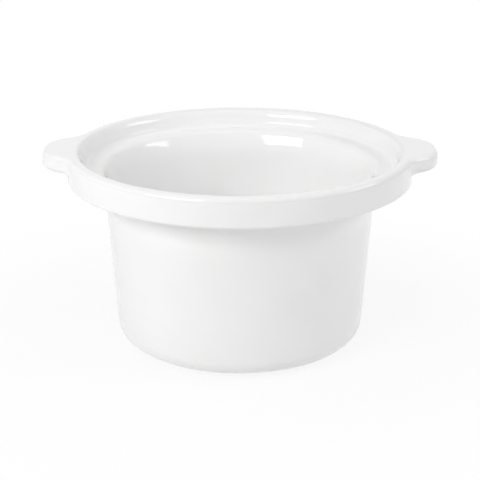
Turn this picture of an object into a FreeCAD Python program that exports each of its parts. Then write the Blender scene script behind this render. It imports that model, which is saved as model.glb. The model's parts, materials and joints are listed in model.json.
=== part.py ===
"""Stoneware crock of a slow cooker: a fired clay pot with a skirted rim, a lid gallery and two lug handles,
and the glaze coat that is melted over it. Millimetres, +Z up, origin at the middle of the foot."""
import FreeCAD, Part
import math
import os
import Sketcher

# Driving sizes. Radii are worked out from the mouth outwards, and heights from the rim downwards.
SIZES = (
    ("crock_height", 144.0, "floor to rim top"),
    ("mouth_radius", 94.7, "inner wall, level with the lid ledge"),
    ("wall_thickness", 5.2, "side wall of the pot"),
    ("body_taper", 8.6, "how much the side leans in from the ledge to the foot"),
    ("floor_height", 8.0, "cooking floor above the table"),
    ("floor_corner_radius", 22.0, "round between the cooking floor and the side"),
    ("base_corner_radius", 13.0, "round under the outside of the pot"),
    ("foot_height", 2.0, "bare foot below the glaze line"),
    ("foot_inset", 0.6, "from the end of the base round in to the foot"),
    ("foot_width", 9.0, "ring that stands on the table"),
    ("foot_recess", 1.6, "hollow inside the foot ring"),
    ("ledge_width", 18.2, "from the line of the inner wall out to the gallery wall"),
    ("lip_flare", 5.5, "how much the mouth opens below the ledge"),
    ("lip_depth", 14.0, "height over which the mouth opens"),
    ("lip_radius", 4.0, "round from the ledge down into the pot"),
    ("lip_blend_radius", 40.0, "round from the open mouth into the inner wall"),
    ("gallery_depth", 13.0, "lid ledge below the rim top"),
    ("gallery_lean", 2.6, "how much the gallery wall opens towards the top"),
    ("gallery_fillet", 5.0, "round between the ledge and the gallery wall"),
    ("rim_thickness", 9.5, "rim between the gallery and the skirt"),
    ("rim_outer_round", 3.5, "outside edge of the rim"),
    ("rim_inner_round", 6.5, "inside edge of the rim"),
    ("flange_thickness", 7.4, "under the lid ledge, down to the skirt's lower edge"),
    ("skirt_edge_bevel", 1.2, "lower edge of the skirt"),
    ("handle_reach", 18.0, "handle tip outside the skirt"),
    ("handle_thickness", 12.0, "handle, from the rim top down"),
    ("handle_tip_half", 4.5, "half of the straight stretch at the tip"),
    ("handle_corner_radius", 27.0, "corners of the tip, seen from above"),
    ("handle_flank_radius", 25.0, "hollow flank, seen from above"),
    ("handle_flank_angle", 58.0, "degrees between the flank's root and the handle's axis"),
    ("handle_root_half", 47.0, "half of the handle's width inside the rim"),
    ("handle_root_depth", 1.5, "how far the flank runs on inside the skirt"),
    ("handle_lower_round", 3.0, "lower edge of the handle"),
    ("glaze_thickness", 0.5, "glaze on every face it covers"),
)
# Small edges of the clay under a glazed round are cut flat, to this share of the round that the glaze has,
# and its large arcs are this many straight runs.
BEVEL_SHARE = 0.57
CLAY_RUNS = 3
# Edges are found by place, to this distance.
NEAR = 1e-4

doc = FreeCAD.newDocument("crock")


def make_sheet():
    sheet = doc.addObject("Spreadsheet::Sheet", "Sizes")
    for row, (alias, number, note) in enumerate(SIZES, start=1):
        sheet.set(f"A{row}", alias)
        sheet.set(f"B{row}", str(number))
        sheet.set(f"C{row}", note)
        sheet.setAlias(f"B{row}", alias)
    doc.recompute()
    return sheet


sheet = make_sheet()


def size(alias):
    """The expression for one driving size."""
    return f"Sizes.{alias}"


def value(expression):
    """What an expression comes to, as a plain number."""
    result = sheet.evalExpression(expression)
    return float(getattr(result, "Value", result))


# Places that several features share.
RIM_TOP = size("crock_height")
LEDGE_Z = f"({RIM_TOP} - {size('gallery_depth')})"
SKIRT_Z = f"({LEDGE_Z} - {size('flange_thickness')})"
GALLERY_FOOT = f"({size('mouth_radius')} + {size('ledge_width')})"
GALLERY_TOP = f"({GALLERY_FOOT} + {size('gallery_lean')})"
SKIRT_RADIUS = f"({GALLERY_TOP} + {size('rim_thickness')})"
TAPER = f"({size('body_taper')} / {LEDGE_Z})"
GALLERY_SLOPE = f"({size('gallery_lean')} / {size('gallery_depth')})"
LIP_RADIUS = f"({size('mouth_radius')} + {size('lip_flare')})"
FLARE_Z = f"({LEDGE_Z} - {size('lip_depth')})"


def inner_radius(z):
    """Radius of the pot's inner wall at height z."""
    return f"({size('mouth_radius')} - {TAPER} * ({LEDGE_Z} - {z}))"


def outer_radius(z):
    """Radius of the pot's outer wall at height z."""
    return f"({inner_radius(z)} + {size('wall_thickness')})"


FOOT_RADIUS = f"({outer_radius('0')} - {size('base_corner_radius')} - {size('foot_inset')})"


def attach(body, sketch, role, height=None):
    """Lay a sketch on one of its own body's origin planes, raised by the expression height."""
    plane = [feature for feature in body.Origin.OriginFeatures if feature.Role == role][0]
    sketch.AttachmentSupport = [(plane, "")]
    sketch.MapMode = "FlatFace"
    if height:
        sketch.setExpression("AttachmentOffset.Base.z", height)


def hold(sketch, kind, references, expression):
    """Add one dimension to a sketch and bind it to an expression."""
    number = value(expression)
    if kind == "Angle":
        number = math.radians(number)
    index = sketch.addConstraint(Sketcher.Constraint(kind, *references, number))
    sketch.setExpression(f"Constraints[{index}]", expression)


def draw_polygon(sketch, corners):
    """Draw a closed outline through (x, y) expressions; None for x or y puts a corner on that axis."""
    places = [FreeCAD.Vector(value(x) if x else 0.0, value(y) if y else 0.0, 0) for x, y in corners]
    for place, following in zip(places, places[1:] + places[:1]):
        sketch.addGeometry(Part.LineSegment(place, following), False)
    for line, (x, y) in enumerate(corners):
        previous = (line - 1) % len(corners)
        sketch.addConstraint(Sketcher.Constraint("Coincident", previous, 2, line, 1))
        if x:
            hold(sketch, "DistanceX", (-1, 1, line, 1), x)
        else:
            sketch.addConstraint(Sketcher.Constraint("PointOnObject", line, 1, -2))
        if y:
            hold(sketch, "DistanceY", (-1, 1, line, 1), y)
        else:
            sketch.addConstraint(Sketcher.Constraint("PointOnObject", line, 1, -1))


def ring_edges(feature, corner):
    """Names of the circular edges of a feature at one (radius, height) corner."""
    radius, height = value(corner[0]), value(corner[1])
    names = []
    for number, edge in enumerate(feature.Shape.Edges, start=1):
        curve = edge.Curve
        if isinstance(curve, Part.Circle) and abs(curve.Radius - radius) < NEAR:
            if abs(curve.Center.z - height) < NEAR:
                names.append(f"Edge{number}")
    return names


def outline_edges(feature, height, back):
    """Names of a handle's level edges at one height, apart from those at its root inside the rim."""
    names = []
    for number, edge in enumerate(feature.Shape.Edges, start=1):
        box = edge.BoundBox
        middle = edge.valueAt((edge.FirstParameter + edge.LastParameter) / 2)
        level = abs(box.ZMin - height) < NEAR and abs(box.ZMax - height) < NEAR
        if level and math.hypot(middle.x, middle.y) > back:
            names.append(f"Edge{number}")
    return names


def dress(body, kind, name, edges, expression):
    """Fillet or chamfer edges of the body's last feature."""
    feature = body.newObject(f"PartDesign::{kind}", name)
    feature.Base = (feature.BaseFeature, edges)
    feature.setExpression("Radius" if kind == "Fillet" else "Size", expression)
    doc.recompute()
    return feature


def round_or_bevel(body, name, edges, radius, glazed):
    """A convex edge: round on the glazed outside, and bevelled on the clay under it."""
    if glazed:
        return dress(body, "Fillet", name, edges, radius)
    return dress(body, "Chamfer", name, edges, f"{BEVEL_SHARE} * {radius}")


def turn(prefix, section):
    """A body turned about the upright axis from a half section of (radius, height) expressions."""
    body = doc.addObject("PartDesign::Body", f"{prefix}_bowl")
    sketch = body.newObject("Sketcher::SketchObject", f"{prefix}_section")
    attach(body, sketch, "XZ_Plane")
    draw_polygon(sketch, section)
    turned = body.newObject("PartDesign::Revolution", f"{prefix}_turned")
    turned.Profile = sketch
    turned.ReferenceAxis = (sketch, ["V_Axis"])
    turned.Angle = 360.0
    doc.recompute()
    return body


def make_glazed_bowl(prefix):
    """The outside of the glazed pot and rim, down to the glaze line above the foot."""
    floor = (inner_radius(size("floor_height")), size("floor_height"))
    flare = (inner_radius(FLARE_Z), FLARE_Z)
    lip = (LIP_RADIUS, LEDGE_Z)
    gallery_foot = (GALLERY_FOOT, LEDGE_Z)
    rim_inner = (GALLERY_TOP, RIM_TOP)
    rim_outer = (SKIRT_RADIUS, RIM_TOP)
    skirt_edge = (SKIRT_RADIUS, SKIRT_Z)
    skirt_root = (outer_radius(SKIRT_Z), SKIRT_Z)
    base = (outer_radius(size("foot_height")), size("foot_height"))
    body = turn(prefix, [(None, floor[1]), floor, flare, lip, gallery_foot, rim_inner, rim_outer, skirt_edge,
                         skirt_root, base, (None, base[1])])
    for name, corner, radius in (
        ("floor_corner", floor, "floor_corner_radius"), ("flare", flare, "lip_blend_radius"),
        ("lip", lip, "lip_radius"),
        ("gallery_foot", gallery_foot, "gallery_fillet"), ("base_corner", base, "base_corner_radius"),
        ("rim_inner", rim_inner, "rim_inner_round"), ("rim_outer", rim_outer, "rim_outer_round"),
    ):
        dress(body, "Fillet", f"{prefix}_{name}", ring_edges(body.Tip, corner), size(radius))
    dress(body, "Chamfer", f"{prefix}_skirt_edge", ring_edges(body.Tip, skirt_edge), size("skirt_edge_bevel"))
    return body


def chords(middle, radius, first, last, hollow):
    """Corners of the straight runs that stand for an arc in the clay, inside a bulge or outside a hollow."""
    step = f"(({last} - {first}) / {CLAY_RUNS})"
    if hollow:
        places = [f"({first} + {step} * {run + 0.5})" for run in range(CLAY_RUNS)]
        radius = f"({radius} / cos({step} / 2))"
    else:
        places = [f"({first} + {step} * {run})" for run in range(CLAY_RUNS + 1)]
    return [(f"{middle[0]} + {radius} * cos({angle})", f"{middle[1]} + {radius} * sin({angle})")
            for angle in places]


def bevel(corner, radius, turns):
    """Two corners in place of one, along two straight edges that turns gives as (radius, height) steps."""
    cut = f"{BEVEL_SHARE} * {radius}"
    return [(f"{corner[0]} + ({across}) * {cut}", f"{corner[1]} + ({up}) * {cut}") for across, up in turns]


def make_clay_bowl(prefix):
    """The fired pot and rim with its bare foot. Its arcs are straight runs, which the glaze evens out."""
    glaze = size("glaze_thickness")
    floor_z = f"({size('floor_height')} - {glaze})"
    ledge_z = f"({LEDGE_Z} - {glaze})"
    base_z = f"({size('foot_height')} + {glaze})"
    rim_z = f"({RIM_TOP} - {glaze})"
    skirt_z = f"({SKIRT_Z} + {glaze})"
    skirt = f"({SKIRT_RADIUS} - {glaze})"
    gallery_top = (f"({GALLERY_TOP} + {glaze})", rim_z)
    lean = f"atan({TAPER})"

    floor_round = f"({size('floor_corner_radius')} + {glaze})"
    floor_middle_z = f"({floor_z} + {floor_round})"
    floor_middle_r = f"({inner_radius(floor_middle_z)} + {glaze} - {floor_round} / cos({lean}))"
    flare = (f"({inner_radius(FLARE_Z)} + {glaze})", FLARE_Z)
    lip = (f"({LIP_RADIUS} + {glaze})", ledge_z)
    flare_slope = f"({lip[0]} - {flare[0]}) / ({lip[1]} - {flare[1]})"
    flare_cut = f"({size('lip_blend_radius')} * tan((atan({flare_slope}) - {lean}) / 2))"
    base_round = f"({size('base_corner_radius')} - {glaze})"
    base_middle_z = f"({base_z} + {base_round})"
    base_middle_r = f"({outer_radius(base_middle_z)} - {glaze} - {base_round} / cos({lean}))"

    foot_inner = f"({FOOT_RADIUS} - {size('foot_width')})"
    section = [(None, floor_z)]
    section += chords((floor_middle_r, floor_middle_z), floor_round, "-90 deg", f"-{lean}", True)
    section += bevel(flare, flare_cut, ((f"-{TAPER}", "-1"), (flare_slope, "1")))
    section += bevel(lip, size("lip_radius"), ((f"-{flare_slope}", "-1"), ("1", "0")))
    section += [(f"{GALLERY_FOOT} + {glaze}", ledge_z)]
    section += bevel(gallery_top, size("rim_inner_round"), ((f"-{GALLERY_SLOPE}", "-1"), ("1", "0")))
    section += bevel((skirt, rim_z), size("rim_outer_round"), (("-1", "0"), ("0", "-1")))
    section += bevel((skirt, skirt_z), size("skirt_edge_bevel"), (("0", "1"), ("-1", "0")))
    section += [(f"{outer_radius(SKIRT_Z)} - {glaze}", skirt_z)]
    section += chords((base_middle_r, base_middle_z), base_round, f"-{lean}", "-90 deg", False)
    section += [(FOOT_RADIUS, base_z), (FOOT_RADIUS, None), (foot_inner, None),
                (foot_inner, size("foot_recess")), (None, size("foot_recess"))]
    return turn(prefix, section)


def draw_handle(sketch, inset):
    """Plan of one handle: tip, round corners, hollow flanks, and straight roots that end inside the rim."""
    angle = f"({size('handle_flank_angle')} * 1 deg)"
    root_radius = f"({SKIRT_RADIUS} - {size('handle_root_depth')})"
    root_y = f"({size('handle_root_half')} - {inset} * cos({angle}))"
    root_x = f"(sqrt({root_radius}^2 - {size('handle_root_half')}^2) - {inset} * sin({angle}))"
    tip_x = f"({SKIRT_RADIUS} + {size('handle_reach')} - {inset})"
    tip_y = size("handle_tip_half")
    corner = f"({size('handle_corner_radius')} - {inset})"
    flank = f"({size('handle_flank_radius')} + {inset})"
    # The handle ends under the middle of the rim's level top.
    inner_cut = f"({size('rim_inner_round')} * tan((90 deg - atan({GALLERY_SLOPE})) / 2))"
    level_top = f"({size('rim_thickness')} - {size('rim_outer_round')} - {inner_cut})"
    back = f"({GALLERY_TOP} + {inner_cut} + {level_top} / 2)"

    # First places for the solver, from the turn that the flank makes between its root and the corner.
    beta = math.radians(value(size("handle_flank_angle")))
    span = FreeCAD.Vector(value(tip_x) - value(root_x), value(root_y) - value(tip_y), 0)
    reach = value(flank) + (value(corner) - span.x) * math.sin(beta) + span.y * math.cos(beta)
    alpha = beta - math.acos(reach / (value(flank) + value(corner)))
    across = FreeCAD.Vector(math.sin(alpha), math.cos(alpha), 0)
    corner_middle = FreeCAD.Vector(value(tip_x) - value(corner), value(tip_y), 0)
    flank_middle = corner_middle + across * (value(flank) + value(corner))
    bend = flank_middle - FreeCAD.Vector(math.sin(beta), math.cos(beta), 0) * value(flank)
    root = FreeCAD.Vector(value(root_x), value(root_y), 0)
    inside = root * (value(back) / root.Length)
    upright = FreeCAD.Vector(0, 0, 1)
    quarter_turn = math.pi / 2

    def below(place):
        return FreeCAD.Vector(place.x, -place.y, 0)

    def arc(middle, radius, first, last):
        return Part.ArcOfCircle(Part.Circle(middle, upright, radius), first, last)

    spread = math.atan2(inside.y, inside.x)
    pieces = [
        Part.LineSegment(below(root), below(bend)),
        arc(below(flank_middle), value(flank), quarter_turn + alpha, quarter_turn + beta),
        arc(below(corner_middle), value(corner), alpha - quarter_turn, 0),
        Part.LineSegment(below(corner_middle) + FreeCAD.Vector(value(corner), 0, 0),
                         corner_middle + FreeCAD.Vector(value(corner), 0, 0)),
        arc(corner_middle, value(corner), 0, quarter_turn - alpha),
        arc(flank_middle, value(flank), -quarter_turn - beta, -quarter_turn - alpha),
        Part.LineSegment(bend, root),
        Part.LineSegment(root, inside),
        arc(FreeCAD.Vector(0, 0, 0), value(back), -spread, spread),
        Part.LineSegment(below(inside), below(root)),
    ]
    low_root, low_flank, low_corner, tip, top_corner = range(5)
    top_flank, top_root, top_end, behind, low_end = range(5, 10)
    for piece in pieces:
        sketch.addGeometry(piece, False)
    smooth_joints = (
        (low_root, 2, low_flank, 2), (low_flank, 1, low_corner, 1), (low_corner, 2, tip, 1),
        (tip, 2, top_corner, 1), (top_corner, 2, top_flank, 2), (top_flank, 1, top_root, 1),
    )
    corners = ((top_root, 2, top_end, 1), (top_end, 2, behind, 2), (behind, 1, low_end, 1),
               (low_end, 2, low_root, 1))
    for joint in smooth_joints:
        sketch.addConstraint(Sketcher.Constraint("Tangent", *joint))
    for joint in corners:
        sketch.addConstraint(Sketcher.Constraint("Coincident", *joint))
    sketch.addConstraint(Sketcher.Constraint("Coincident", behind, 3, -1, 1))
    hold(sketch, "Radius", (behind,), back)
    for end in (top_end, low_end):
        sketch.addConstraint(Sketcher.Constraint("PointOnObject", -1, 1, end))
    for edge, radius in ((low_flank, flank), (top_flank, flank), (low_corner, corner), (top_corner, corner)):
        hold(sketch, "Radius", (edge,), radius)
    hold(sketch, "DistanceX", (-1, 1, tip, 1), tip_x)
    hold(sketch, "DistanceY", (-1, 1, tip, 1), f"-{tip_y}")
    hold(sketch, "DistanceX", (-1, 1, tip, 2), tip_x)
    hold(sketch, "DistanceY", (-1, 1, tip, 2), tip_y)
    hold(sketch, "DistanceX", (-1, 1, low_root, 1), root_x)
    hold(sketch, "DistanceY", (-1, 1, low_root, 1), f"-{root_y}")
    hold(sketch, "DistanceX", (-1, 1, top_root, 2), root_x)
    hold(sketch, "DistanceY", (-1, 1, top_root, 2), root_y)
    hold(sketch, "Angle", (low_root,), angle)
    hold(sketch, "Angle", (top_root,), f"180 deg - {angle}")


def make_handle(prefix, inset, glazed):
    """One lug handle, level with the rim top, with its free edges broken."""
    body = doc.addObject("PartDesign::Body", f"{prefix}_handle")
    sketch = body.newObject("Sketcher::SketchObject", f"{prefix}_handle_plan")
    attach(body, sketch, "XY_Plane", f"{RIM_TOP} - {inset}")
    draw_handle(sketch, inset)
    lug = body.newObject("PartDesign::Pad", f"{prefix}_lug")
    lug.Profile = sketch
    lug.Reversed = True
    lug.setExpression("Length", f"{size('handle_thickness')} - 2 * {inset}")
    doc.recompute()
    back = value(SKIRT_RADIUS) - value(size("handle_root_depth"))
    top = value(f"{RIM_TOP} - {inset}")
    bottom = value(f"{RIM_TOP} - {size('handle_thickness')} + {inset}")
    top_edges = outline_edges(lug, top, back)
    rounded = round_or_bevel(body, f"{prefix}_lug_top", top_edges, size("rim_outer_round"), glazed)
    bottom_edges = outline_edges(rounded, bottom, back)
    round_or_bevel(body, f"{prefix}_lug_bottom", bottom_edges, size("handle_lower_round"), glazed)
    return body


def make_form(prefix, inset, glazed):
    """Bowl and both handles as one solid."""
    bowl = make_glazed_bowl(prefix) if glazed else make_clay_bowl(prefix)
    handle = make_handle(prefix, inset, glazed)
    other_handle = doc.addObject("Part::Mirroring", f"{prefix}_other_handle")
    other_handle.Source = handle
    other_handle.Normal = (1, 0, 0)
    form = doc.addObject("Part::MultiFuse", f"{prefix}_form")
    form.Shapes = [bowl, handle, other_handle]
    form.Refine = True
    doc.recompute()
    return form


stoneware = make_form("clay", size("glaze_thickness"), False)
stoneware.Label = "stoneware_body"
glazed_form = make_form("glazed", "0", True)
glaze = doc.addObject("Part::Cut", "glaze_cut")
glaze.Base = glazed_form
glaze.Tool = stoneware
glaze.Refine = True
glaze.Label = "glaze_coat"
doc.recompute()

for item in doc.Objects:
    if "Invalid" in item.State or "Error" in item.State:
        raise RuntimeError(f"{item.Label} did not build: {item.State}")
os.makedirs("parts", exist_ok=True)
for item in (stoneware, glaze):
    if item.Shape.isNull() or not item.Shape.isValid() or len(item.Shape.Solids) != 1:
        raise RuntimeError(f"{item.Label} is not one valid solid")
    item.Shape.exportStep(f"parts/{item.Label}.step")
    print(item.Label, round(item.Shape.Volume), "mm3", item.Shape.BoundBox)
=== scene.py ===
"""A white glazed stoneware slow-cooker crock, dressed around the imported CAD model."""
import json
import math

import bmesh
import bpy
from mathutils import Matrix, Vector, noise


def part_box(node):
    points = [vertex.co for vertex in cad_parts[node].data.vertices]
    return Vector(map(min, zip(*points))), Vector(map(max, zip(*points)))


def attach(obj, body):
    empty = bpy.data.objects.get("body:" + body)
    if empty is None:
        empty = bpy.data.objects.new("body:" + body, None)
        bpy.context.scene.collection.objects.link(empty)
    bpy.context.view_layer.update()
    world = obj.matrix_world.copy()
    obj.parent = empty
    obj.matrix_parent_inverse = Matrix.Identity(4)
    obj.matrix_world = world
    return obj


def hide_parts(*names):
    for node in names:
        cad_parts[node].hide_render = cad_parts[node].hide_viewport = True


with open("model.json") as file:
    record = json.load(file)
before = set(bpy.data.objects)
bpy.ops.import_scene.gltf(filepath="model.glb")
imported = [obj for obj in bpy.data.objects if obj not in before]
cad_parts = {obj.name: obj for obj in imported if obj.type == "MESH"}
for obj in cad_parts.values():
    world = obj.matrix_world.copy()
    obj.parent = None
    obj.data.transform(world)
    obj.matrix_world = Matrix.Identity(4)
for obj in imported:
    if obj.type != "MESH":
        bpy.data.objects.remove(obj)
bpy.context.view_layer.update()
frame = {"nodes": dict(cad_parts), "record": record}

MM = 0.001

# Levels and reaches that the CAD model gives, in metres
GLAZE_LOW, GLAZE_HIGH = (Vector(corner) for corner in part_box("glaze_coat"))
RIM_RADIUS = GLAZE_HIGH.y
HANDLE_TIP = GLAZE_HIGH.x
RIM_TOP = GLAZE_HIGH.z
GLAZE_LINE = GLAZE_LOW.z
MOUNTS = {mount["name"]: mount for mount in frame["record"]["mounts"]}
LEDGE_LEVEL = MOUNTS["lid_ledge"]["pos_m"][2]
SKIRT_LEVEL = MOUNTS["skirt_seat"]["pos_m"][2]

# The bowl. Wall radii are given where the wall's line meets the ledge level.
MOUTH_RADIUS = 94.7 * MM
WALL_THICKNESS = 5.2 * MM
WALL_SLOPE = 8.6 * MM / LEDGE_LEVEL
FOOT_RADIUS = 77.7 * MM
BASE_CORNER = 13 * MM
FLOOR_LEVEL = 8 * MM
FLOOR_CORNER = 22 * MM
FLOOR_HUB = 2 * MM
LIP_FLARE = 4.9 * MM
LIP_DEPTH = 12.5 * MM
LIP_ROUND = 6 * MM
LIP_BLEND = 50 * MM

# The rim, its skirt and the recess for the lid. The recess wall bows out on its way up.
GALLERY_FOOT_RADIUS = 113.0 * MM
GALLERY_BOW_RADIUS = 114.95 * MM
GALLERY_BOW_LEVEL = RIM_TOP - 3.7 * MM
GALLERY_BOW = 12 * MM
GALLERY_TOP_RADIUS = 117.35 * MM
GALLERY_FILLET = 4.8 * MM
RIM_INNER_ROUND = 3 * MM
RIM_OUTER_ROUND = 3.5 * MM
CROWN_EDGE = 0.3 * MM
SKIRT_ROOT = 3 * MM
SKIRT_EDGE = 1.6 * MM

# The lug handles: plan outline and edges
HANDLE_THICKNESS = 12 * MM
HANDLE_TIP_HALF = 4.5 * MM
HANDLE_CORNER = 27 * MM
HANDLE_FLANK = 26.5 * MM
HANDLE_EDGE_ROUND = 3.25 * MM

# How finely the glazed skin is meshed. Crowding draws the columns together at the handles.
COLUMNS = 400
HANDLE_CROWDING = 0.45
ARC_STEP = math.radians(6)
LONGEST_STEP = 5 * MM
SHORTEST_SPAN = 1e-6 * MM
HANDLE_ROWS = 30
ROUND_STEPS = 12
LEAST_TURN = 1e-6
LAND_SHARES = (0.2, 0.4, 0.6, 0.8)
SLOPE_ANGLE = 1e-4
MOST_STRETCH = 1.6

# Unevenness of a moulded and dipped pot
WAVE_HEIGHT = 0.12 * MM
WAVE_LENGTH = 45 * MM

# The glaze: linear colours, grain sizes, and specks and pits as (spacing, radius, chance).
# Bends are in 1/m: sharp edges are darker, for thin glaze and partly as painted shade that dims their
# highlights; hollows get painted shade.
GLAZE_THIN = (0.935, 0.935, 0.93)
GLAZE_THICK = (0.96, 0.96, 0.96)
# Darker on sharp edges: thin glaze over the body, and partly painted shade that dims the edges' highlights.
GLAZE_THIN_EDGE_AND_SHADE = (0.89, 0.89, 0.885)
# Painted shade in hollows and fillets: darker where shade falls.
GLAZE_HOLLOW_SHADE = (0.885, 0.888, 0.89)
GLAZE_SPECK = (0.62, 0.58, 0.52)
GLAZE_ROUGHNESS = (0.045, 0.085)
EDGE_BENDS = (60, 300)
HOLLOW_BENDS = (-60, -250)
BEND_SHARES = (0, 0.8)
MIDDLE_NOISE = (0.3, 0.7)
CLOUD_GRAIN = 40 * MM
SMEAR_GRAIN = 25 * MM
RIPPLE_GRAIN = 9 * MM
RIPPLE_DEPTH = 0.03 * MM
PEEL_GRAIN = 1.2 * MM
PEEL_HEIGHTS = (0, 0.08)
GLAZE_SPECKS = (9 * MM, 0.35 * MM, 0.05)
GLAZE_PITS = (6 * MM, 0.3 * MM, 0.06)

# The bare clay
CLAY_DARK = (0.58, 0.54, 0.48)
CLAY_PALE = (0.78, 0.75, 0.70)
CLAY_SMUDGE = (0.50, 0.45, 0.39)
CLAY_SPECK = (0.28, 0.22, 0.17)
CLAY_ROUGHNESS = (0.7, 0.9)
CLAY_GRAIN = 0.8 * MM
CLAY_GRAIN_NOISE = (0.2, 0.8)
SMUDGE_GRAIN = 30 * MM
SMUDGE_NOISE = (0.5, 0.75)
SMUDGE_SHARES = (0, 0.5)
CLAY_SPECKS = (3 * MM, 0.3 * MM, 0.2)
SAND_GRAIN = 0.5 * MM
SAND_DEPTH = 0.08 * MM

# A speck is full out to this share of its radius, and full at this share of its chance
SPECK_CORE = 0.4
SPECK_SURE = 0.9

# A Mix node's colour sockets, which come after those for numbers and vectors
MIX_COLOURS = (6, 7)
MIX_RESULT = 2

# The white floor: how far it reaches, how much of it glows near the pot, and where its shadow fades out
FLOOR_REACH = 4.0
FLOOR_SEGMENTS = 96
FLOOR_WHITE = (0.92, 0.92, 0.92)
FLOOR_GLOW = 0.88
SHADOW_FADE = (0.12, 0.34)

# Light from all round, and soft lamps as (name, azimuth, elevation, distance, size, power, mirrored)
WORLD_LIGHT = 0.245
LAMPS = (
    ("key_softbox", -43, 30, 1.4, (0.85, 0.42), 8.4, True),
    ("fill_softbox", 86, 28, 1.4, (0.64, 0.3), 2.7, True),
    ("side_card", 80, 15, 1.6, (1.5, 1.2), 4.6, False),
    ("top_softbox", -60, 80, 1.4, (1.6, 1.6), 8.8, False),
)

# The camera, fitted to the photograph's outline
AIM = Vector((0, 0, 72 * MM))
CAMERA_ELEVATION = 19.69
CAMERA_DISTANCE = 0.9
SENSOR_WIDTH = 36
FOCAL_PIXELS = 1205
PHOTO_PIXELS = 480


def corner_arc(before, place, after, size):
    """Points on the arc that rounds off a corner between its two neighbours."""
    to_before = (before - place).normalized()
    to_after = (after - place).normalized()
    half = to_before.angle(to_after) / 2
    middle = place + (to_before + to_after).normalized() * size / math.sin(half)
    start = place + to_before * size / math.tan(half) - middle
    turn = start.angle_signed(place + to_after * size / math.tan(half) - middle)
    steps = max(2, math.ceil(abs(turn) / ARC_STEP))
    points = []
    for step in range(steps + 1):
        swing = -turn * step / steps
        points.append(middle + Vector((start.x * math.cos(swing) - start.y * math.sin(swing),
                                       start.x * math.sin(swing) + start.y * math.cos(swing))))
    return points


def rounded(corners):
    """A path through (radius, height, round) corners, with arcs at the rounds and even steps between."""
    path = []
    places = [Vector(corner[:2]) for corner in corners]
    for index, (place, corner) in enumerate(zip(places, corners)):
        size = corner[2]
        if size == 0:
            run = [place]
        else:
            run = corner_arc(places[index - 1], place, places[index + 1], size)
        if path:
            gap = run[0] - path[-1]
            steps = max(1, math.ceil(gap.length / LONGEST_STEP))
            path += [path[-1] + gap * step / steps for step in range(1, steps)]
        path += run
    return path


def resampled(path, rows):
    """The same path with a given number of evenly spaced points."""
    lengths = [0.0]
    for here, there in zip(path, path[1:]):
        lengths.append(lengths[-1] + (there - here).length)
    points = []
    segment = 0
    for row in range(rows):
        goal = lengths[-1] * row / (rows - 1)
        while segment < len(path) - 2 and lengths[segment + 1] < goal:
            segment += 1
        span = max(lengths[segment + 1] - lengths[segment], SHORTEST_SPAN)
        share = min((goal - lengths[segment]) / span, 1.0)
        points.append(path[segment].lerp(path[segment + 1], share))
    return points


def circle_crossing(angle, centre, radius, far):
    """How far from the axis a ray at this angle meets a circle, on its far or its near side."""
    along = math.cos(angle) * centre.x + math.sin(angle) * centre.y
    half_chord = math.sqrt(max(along ** 2 - centre.length_squared + radius ** 2, 0.0))
    return along + half_chord if far else along - half_chord


def flank_centre(corner):
    """Centre of the hollow flank, which touches the rim circle and the handle's corner round."""
    to_axis = RIM_RADIUS + HANDLE_FLANK
    to_corner = HANDLE_CORNER + HANDLE_FLANK
    along = (to_axis ** 2 - to_corner ** 2 + corner.length_squared) / (2 * corner.length)
    aside = math.sqrt(to_axis ** 2 - along ** 2)
    forward = corner.normalized()
    return forward * along + Vector((-forward.y, forward.x)) * aside


# Where the runs of the plan outline end, as polar angles: flat tip, corner round, hollow flank
CORNER_CENTRE = Vector((HANDLE_TIP - HANDLE_CORNER, HANDLE_TIP_HALF))
FLANK_CENTRE = flank_centre(CORNER_CENTRE)
CORNER_END = CORNER_CENTRE.lerp(FLANK_CENTRE, HANDLE_CORNER / (HANDLE_CORNER + HANDLE_FLANK))
TIP_ANGLE = math.atan2(HANDLE_TIP_HALF, HANDLE_TIP)
CORNER_ANGLE = math.atan2(CORNER_END.y, CORNER_END.x)
ROOT_ANGLE = math.atan2(FLANK_CENTRE.y, FLANK_CENTRE.x)


def plan_radius(angle):
    """The plan outline of rim and handles: distance from the axis at a polar angle."""
    angle = abs(math.remainder(angle, 2 * math.pi))
    angle = min(angle, math.pi - angle)
    if angle <= TIP_ANGLE:
        return HANDLE_TIP / math.cos(angle)
    if angle <= CORNER_ANGLE:
        return circle_crossing(angle, CORNER_CENTRE, HANDLE_CORNER, far=True)
    if angle <= ROOT_ANGLE:
        return circle_crossing(angle, FLANK_CENTRE, HANDLE_FLANK, far=False)
    return RIM_RADIUS


def below_skirt():
    """Profile of the outside, from the glaze line up round the skirt's lower edge."""
    outer = MOUTH_RADIUS + WALL_THICKNESS
    root = outer - (LEDGE_LEVEL - SKIRT_LEVEL) * WALL_SLOPE
    base = outer - (LEDGE_LEVEL - GLAZE_LINE) * WALL_SLOPE
    return rounded([
        (FOOT_RADIUS, GLAZE_LINE, 0),
        (base, GLAZE_LINE, BASE_CORNER),
        (root, SKIRT_LEVEL, SKIRT_ROOT),
        (RIM_RADIUS, SKIRT_LEVEL, SKIRT_EDGE),
        (RIM_RADIUS, SKIRT_LEVEL + 2 * SKIRT_EDGE, 0)])


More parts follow.
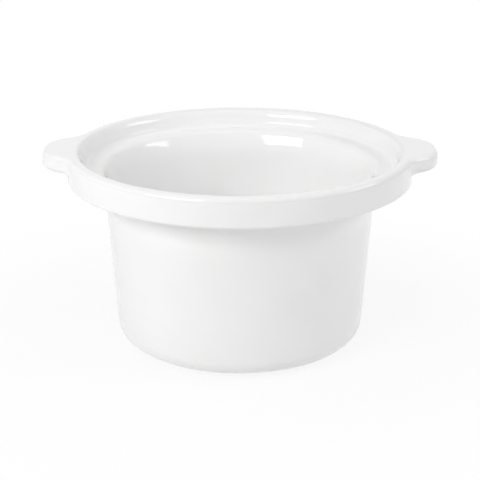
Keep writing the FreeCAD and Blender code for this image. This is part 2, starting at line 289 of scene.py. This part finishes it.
def inside():
    """Profile from the rim's crown through the lid's recess and over the lip, down to the floor."""
    flare_level = LEDGE_LEVEL - LIP_DEPTH
    crown = RIM_RADIUS - RIM_OUTER_ROUND
    return rounded([
        (crown - CROWN_EDGE, RIM_TOP, 0),
        (GALLERY_TOP_RADIUS, RIM_TOP, RIM_INNER_ROUND),
        (GALLERY_BOW_RADIUS, GALLERY_BOW_LEVEL, GALLERY_BOW),
        (GALLERY_FOOT_RADIUS, LEDGE_LEVEL, GALLERY_FILLET),
        (MOUTH_RADIUS + LIP_FLARE, LEDGE_LEVEL, LIP_ROUND),
        (MOUTH_RADIUS - LIP_DEPTH * WALL_SLOPE, flare_level, LIP_BLEND),
        (MOUTH_RADIUS - (LEDGE_LEVEL - FLOOR_LEVEL) * WALL_SLOPE, FLOOR_LEVEL, FLOOR_CORNER),
        (FLOOR_HUB, FLOOR_LEVEL, 0)])


def outer_wall(start, radius, stretch):
    """The skirt wall, and where a handle stands out its hollow root, underside and lower edge."""
    reach = radius - RIM_RADIUS
    underside = RIM_TOP - HANDLE_THICKNESS
    turn = min(2 * math.atan2(reach / stretch, 2 * HANDLE_EDGE_ROUND), math.pi / 2)
    hollow = []
    edge = []
    for step in range(ROUND_STEPS + 1):
        swing = turn * step / ROUND_STEPS
        if turn < LEAST_TURN:
            out = 0.0
            up = HANDLE_EDGE_ROUND * step / ROUND_STEPS
        else:
            size = HANDLE_EDGE_ROUND / math.sin(turn)
            out = stretch * size * (1 - math.cos(swing))
            up = size * math.sin(swing)
        hollow.append(Vector((RIM_RADIUS + out, underside - HANDLE_EDGE_ROUND + up)))
        edge.append(Vector((radius - out, underside + HANDLE_EDGE_ROUND - up)))
    return resampled([start] + hollow + edge[::-1], HANDLE_ROWS)


def crown_round(radius, stretch):
    """The round from the outer face of the rim or a handle up to the crown."""
    points = []
    for step in range(ROUND_STEPS + 1):
        swing = math.pi / 2 * step / ROUND_STEPS
        points.append(Vector((radius - RIM_OUTER_ROUND * stretch * (1 - math.cos(swing)),
                              RIM_TOP - RIM_OUTER_ROUND * (1 - math.sin(swing)))))
    return points


def column(angle, lower, upper):
    """One upright row of points round the pot, from the glaze line to the middle of the floor.

    stretch widens the rounds where the plan outline runs slantwise to the column.
    """
    radius = plan_radius(angle)
    rise = plan_radius(angle + SLOPE_ANGLE) - plan_radius(angle - SLOPE_ANGLE)
    slope = rise / (2 * SLOPE_ANGLE * radius)
    stretch = min(math.hypot(1, slope), MOST_STRETCH)
    wall = outer_wall(lower[-1], radius, stretch)
    crown = crown_round(radius, stretch)
    halfway = wall[-1].lerp(crown[0], 0.5)
    land = [crown[-1].lerp(upper[0], share) for share in LAND_SHARES]
    return lower + wall[1:] + [halfway] + crown + land + upper


def bends(path):
    """How sharply a path bends at each point, in 1/m: positive on edges and negative in hollows."""
    found = [0.0]
    for before, here, after in zip(path, path[1:], path[2:]):
        turn = (here - before).angle_signed(after - here, 0.0)
        found.append(-2 * turn / ((here - before).length + (after - here).length))
    return found + [0.0]


def new_object(name, data):
    """An object that holds this data, in the scene."""
    made = bpy.data.objects.new(name, data)
    bpy.context.collection.objects.link(made)
    return made


def mesh_object(name, mesh):
    """An object made from a bmesh, which is used up."""
    data = bpy.data.meshes.new(name)
    mesh.to_mesh(data)
    mesh.free()
    return new_object(name, data)


def add_columns(mesh):
    """The skin's points, column by column, with each point's bend kept for the material."""
    lower = below_skirt()
    upper = inside()
    bend_layer = mesh.verts.layers.float.new("bend")
    grid = []
    for index in range(COLUMNS):
        turn = 2 * math.pi * index / COLUMNS
        angle = turn - HANDLE_CROWDING / 2 * math.sin(2 * turn)
        path = column(angle, lower, upper)
        points = []
        for place, bend in zip(path, bends(path)):
            vert = mesh.verts.new((place.x * math.cos(angle), place.x * math.sin(angle), place.y))
            vert[bend_layer] = bend
            points.append(vert)
        grid.append(points)
    return grid


def add_faces(mesh, grid):
    """Faces between neighbouring columns, and one face each to close the floor and the underside."""
    for index, near in enumerate(grid):
        far = grid[(index + 1) % COLUMNS]
        for row in range(len(near) - 1):
            mesh.faces.new((near[row], far[row], far[row + 1], near[row + 1]))
    mesh.faces.new([points[-1] for points in grid])
    mesh.faces.new([points[0] for points in reversed(grid)])


def make_glaze():
    """The glazed skin as one closed, slightly uneven mesh of upright columns."""
    mesh = bmesh.new()
    add_faces(mesh, add_columns(mesh))
    mesh.normal_update()
    for vert in mesh.verts:
        vert.co += vert.normal * noise.noise(vert.co / WAVE_LENGTH) * WAVE_HEIGHT
    piece = mesh_object("crock_glaze", mesh)
    piece.data.shade_smooth()
    return piece


def new_material(name):
    """A material with its nodes, links and Principled shader."""
    material = bpy.data.materials.new(name)
    material.use_nodes = True
    tree = material.node_tree
    return material, tree.nodes, tree.links, tree.nodes["Principled BSDF"]


def add_noise(nodes, links, place, grain, detail=2.0):
    """Noise whose grain is about that size in metres."""
    texture = nodes.new("ShaderNodeTexNoise")
    texture.inputs["Scale"].default_value = 1 / grain
    texture.inputs["Detail"].default_value = detail
    links.new(place, texture.inputs["Vector"])
    return texture.outputs["Fac"]


def add_range(nodes, links, source, old, new, easing="LINEAR"):
    """A value taken from one range to another, and held at its ends."""
    node = nodes.new("ShaderNodeMapRange")
    node.interpolation_type = easing
    for name, number in zip(("From Min", "From Max", "To Min", "To Max"), (*old, *new)):
        node.inputs[name].default_value = number
    links.new(source, node.inputs["Value"])
    return node.outputs["Result"]


def add_math(nodes, links, operation, first, second):
    """Two values joined by an operation."""
    node = nodes.new("ShaderNodeMath")
    node.operation = operation
    links.new(first, node.inputs[0])
    links.new(second, node.inputs[1])
    return node.outputs["Value"]


def add_blend(nodes, links, share, first, second):
    """A colour between two others. Each is a colour or a socket."""
    node = nodes.new("ShaderNodeMix")
    node.data_type = "RGBA"
    links.new(share, node.inputs["Factor"])
    for number, colour in zip(MIX_COLOURS, (first, second)):
        if isinstance(colour, tuple):
            node.inputs[number].default_value = (*colour, 1)
        else:
            links.new(colour, node.inputs[number])
    return node.outputs[MIX_RESULT]


def add_specks(nodes, links, place, spacing, radius, chance):
    """1 inside small round specks that are scattered over the surface, and 0 elsewhere."""
    cells = nodes.new("ShaderNodeTexVoronoi")
    cells.inputs["Scale"].default_value = 1 / spacing
    links.new(place, cells.inputs["Vector"])
    fade = (SPECK_CORE * radius / spacing, radius / spacing)
    within = add_range(nodes, links, cells.outputs["Distance"], fade, (1, 0))
    pick = nodes.new("ShaderNodeSeparateColor")
    links.new(cells.outputs["Color"], pick.inputs["Color"])
    picked = (1 - chance, 1 - SPECK_SURE * chance)
    chosen = add_range(nodes, links, pick.outputs["Red"], picked, (0, 1))
    return add_math(nodes, links, "MULTIPLY", within, chosen)


def add_bump(nodes, links, shader, height, distance):
    """Bump of a given depth in metres on a shader."""
    bump = nodes.new("ShaderNodeBump")
    bump.inputs["Distance"].default_value = distance
    links.new(height, bump.inputs["Height"])
    links.new(bump.outputs["Normal"], shader.inputs["Normal"])


def glaze_colour(nodes, links, place):
    """White, cloudy in depth, darker on edges (thin glaze, partly painted shade) and with painted shade in
    hollows, with a few specks.
    """
    cloud = add_noise(nodes, links, place, CLOUD_GRAIN, detail=3)
    cloud = add_range(nodes, links, cloud, MIDDLE_NOISE, (0, 1))
    colour = add_blend(nodes, links, cloud, GLAZE_THIN, GLAZE_THICK)
    bend = nodes.new("ShaderNodeAttribute")
    bend.attribute_name = "bend"
    # Edges get thin glaze and painted shade; hollows get painted shade.
    for bend_range, tint in ((EDGE_BENDS, GLAZE_THIN_EDGE_AND_SHADE), (HOLLOW_BENDS, GLAZE_HOLLOW_SHADE)):
        share = add_range(nodes, links, bend.outputs["Fac"], bend_range, BEND_SHARES)
        colour = add_blend(nodes, links, share, colour, tint)
    specks = add_specks(nodes, links, place, *GLAZE_SPECKS)
    return add_blend(nodes, links, specks, colour, GLAZE_SPECK)


def glaze_material():
    """White glossy glaze, slightly rippled, with a few pinholes and specks."""
    material, nodes, links, shader = new_material("white_glaze")
    place = nodes.new("ShaderNodeTexCoord").outputs["Object"]
    links.new(glaze_colour(nodes, links, place), shader.inputs["Base Color"])
    smear = add_noise(nodes, links, place, SMEAR_GRAIN, detail=4)
    roughness = add_range(nodes, links, smear, MIDDLE_NOISE, GLAZE_ROUGHNESS)
    links.new(roughness, shader.inputs["Roughness"])
    pits = add_specks(nodes, links, place, *GLAZE_PITS)
    ripple = add_noise(nodes, links, place, RIPPLE_GRAIN)
    peel = add_noise(nodes, links, place, PEEL_GRAIN)
    peel = add_range(nodes, links, peel, (0, 1), PEEL_HEIGHTS)
    height = add_math(nodes, links, "ADD", ripple, peel)
    height = add_math(nodes, links, "SUBTRACT", height, pits)
    add_bump(nodes, links, shader, height, RIPPLE_DEPTH)
    return material


def clay_material():
    """Bare fired stoneware on the foot: pale buff, matt and sandy, with iron specks and kiln smudges."""
    material, nodes, links, shader = new_material("bare_stoneware")
    place = nodes.new("ShaderNodeTexCoord").outputs["Object"]
    grain = add_noise(nodes, links, place, CLAY_GRAIN, detail=5)
    colour = add_blend(nodes, links, grain, CLAY_DARK, CLAY_PALE)
    smudge = add_noise(nodes, links, place, SMUDGE_GRAIN, detail=4)
    smudge = add_range(nodes, links, smudge, SMUDGE_NOISE, SMUDGE_SHARES)
    colour = add_blend(nodes, links, smudge, colour, CLAY_SMUDGE)
    specks = add_specks(nodes, links, place, *CLAY_SPECKS)
    colour = add_blend(nodes, links, specks, colour, CLAY_SPECK)
    links.new(colour, shader.inputs["Base Color"])
    roughness = add_range(nodes, links, grain, CLAY_GRAIN_NOISE, CLAY_ROUGHNESS)
    links.new(roughness, shader.inputs["Roughness"])
    sand = add_noise(nodes, links, place, SAND_GRAIN, detail=6)
    add_bump(nodes, links, shader, sand, SAND_DEPTH)
    return material


def seen_directly(nodes, links):
    """1 for rays that the camera, a reflection or clear glass sends, and 0 for those that carry light."""
    path = nodes.new("ShaderNodeLightPath")
    result = path.outputs["Is Camera Ray"]
    for kind in ("Is Glossy Ray", "Is Transmission Ray"):
        result = add_math(nodes, links, "MAXIMUM", result, path.outputs[kind])
    return result


def floor_material():
    """Matt white that takes the pot's shadow, mixed with a plain white glow that takes over further out."""
    material, nodes, links, shader = new_material("white_floor")
    shader.inputs["Base Color"].default_value = (*FLOOR_WHITE, 1)
    shader.inputs["Roughness"].default_value = 1
    shader.inputs["Specular IOR Level"].default_value = 0
    reach = nodes.new("ShaderNodeVectorMath")
    reach.operation = "LENGTH"
    links.new(nodes.new("ShaderNodeTexCoord").outputs["Object"], reach.inputs[0])
    share = add_range(nodes, links, reach.outputs["Value"], SHADOW_FADE, (FLOOR_GLOW, 1), "SMOOTHSTEP")
    shown = add_math(nodes, links, "MULTIPLY", share, seen_directly(nodes, links))
    glow = nodes.new("ShaderNodeEmission")
    mix = nodes.new("ShaderNodeMixShader")
    links.new(shown, mix.inputs["Fac"])
    links.new(shader.outputs["BSDF"], mix.inputs[1])
    links.new(glow.outputs["Emission"], mix.inputs[2])
    links.new(mix.outputs["Shader"], nodes["Material Output"].inputs["Surface"])
    return material


def add_floor():
    """A round white floor under the pot."""
    mesh = bmesh.new()
    bmesh.ops.create_circle(mesh, cap_ends=True, segments=FLOOR_SEGMENTS, radius=FLOOR_REACH)
    floor = mesh_object("floor", mesh)
    floor.data.materials.append(floor_material())


def set_world():
    """Even light from all round; seen directly it is plain white."""
    world = bpy.data.worlds.new("studio")
    bpy.context.scene.world = world
    world.use_nodes = True
    nodes, links = world.node_tree.nodes, world.node_tree.links
    level = add_range(nodes, links, seen_directly(nodes, links), (0, 1), (WORLD_LIGHT, 1))
    links.new(level, nodes["Background"].inputs["Strength"])
    nodes["Background"].inputs["Color"].default_value = (1, 1, 1, 1)


def place_facing_pot(thing, azimuth, elevation, distance):
    """Put a lamp or camera round the pot, aimed at it. Azimuth 0 is the photograph's side, 90 the right."""
    side = math.radians(azimuth)
    lift = math.radians(elevation)
    outward = Vector((math.sin(side) * math.cos(lift), -math.cos(side) * math.cos(lift), math.sin(lift)))
    thing.location = AIM + outward * distance
    thing.rotation_euler = (AIM - thing.location).to_track_quat("-Z", "Y").to_euler()


def add_softbox(name, azimuth, elevation, distance, size, power, mirrored):
    """A soft lamp. One that is not mirrored lights the glaze but leaves no shape of itself in it."""
    data = bpy.data.lights.new(name, "AREA")
    data.shape = "RECTANGLE"
    data.size, data.size_y = size
    data.energy = power
    lamp = new_object(name, data)
    lamp.visible_glossy = mirrored
    place_facing_pot(lamp, azimuth, elevation, distance)


def add_camera():
    """The camera at the photograph's viewing angle."""
    data = bpy.data.cameras.new("camera")
    data.sensor_width = SENSOR_WIDTH
    data.lens = SENSOR_WIDTH * FOCAL_PIXELS / PHOTO_PIXELS
    camera = new_object("camera", data)
    place_facing_pot(camera, 0, CAMERA_ELEVATION, CAMERA_DISTANCE)
    bpy.context.scene.camera = camera


glaze = make_glaze()
glaze.data.materials.append(glaze_material())
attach(glaze, "root")
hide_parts("glaze_coat")

clay = frame["nodes"]["stoneware_body"]
clay.data.materials.clear()
clay.data.materials.append(clay_material())

add_floor()
set_world()
for lamp_values in LAMPS:
    add_softbox(*lamp_values)
add_camera()
bpy.context.scene.view_settings.view_transform = "Standard"
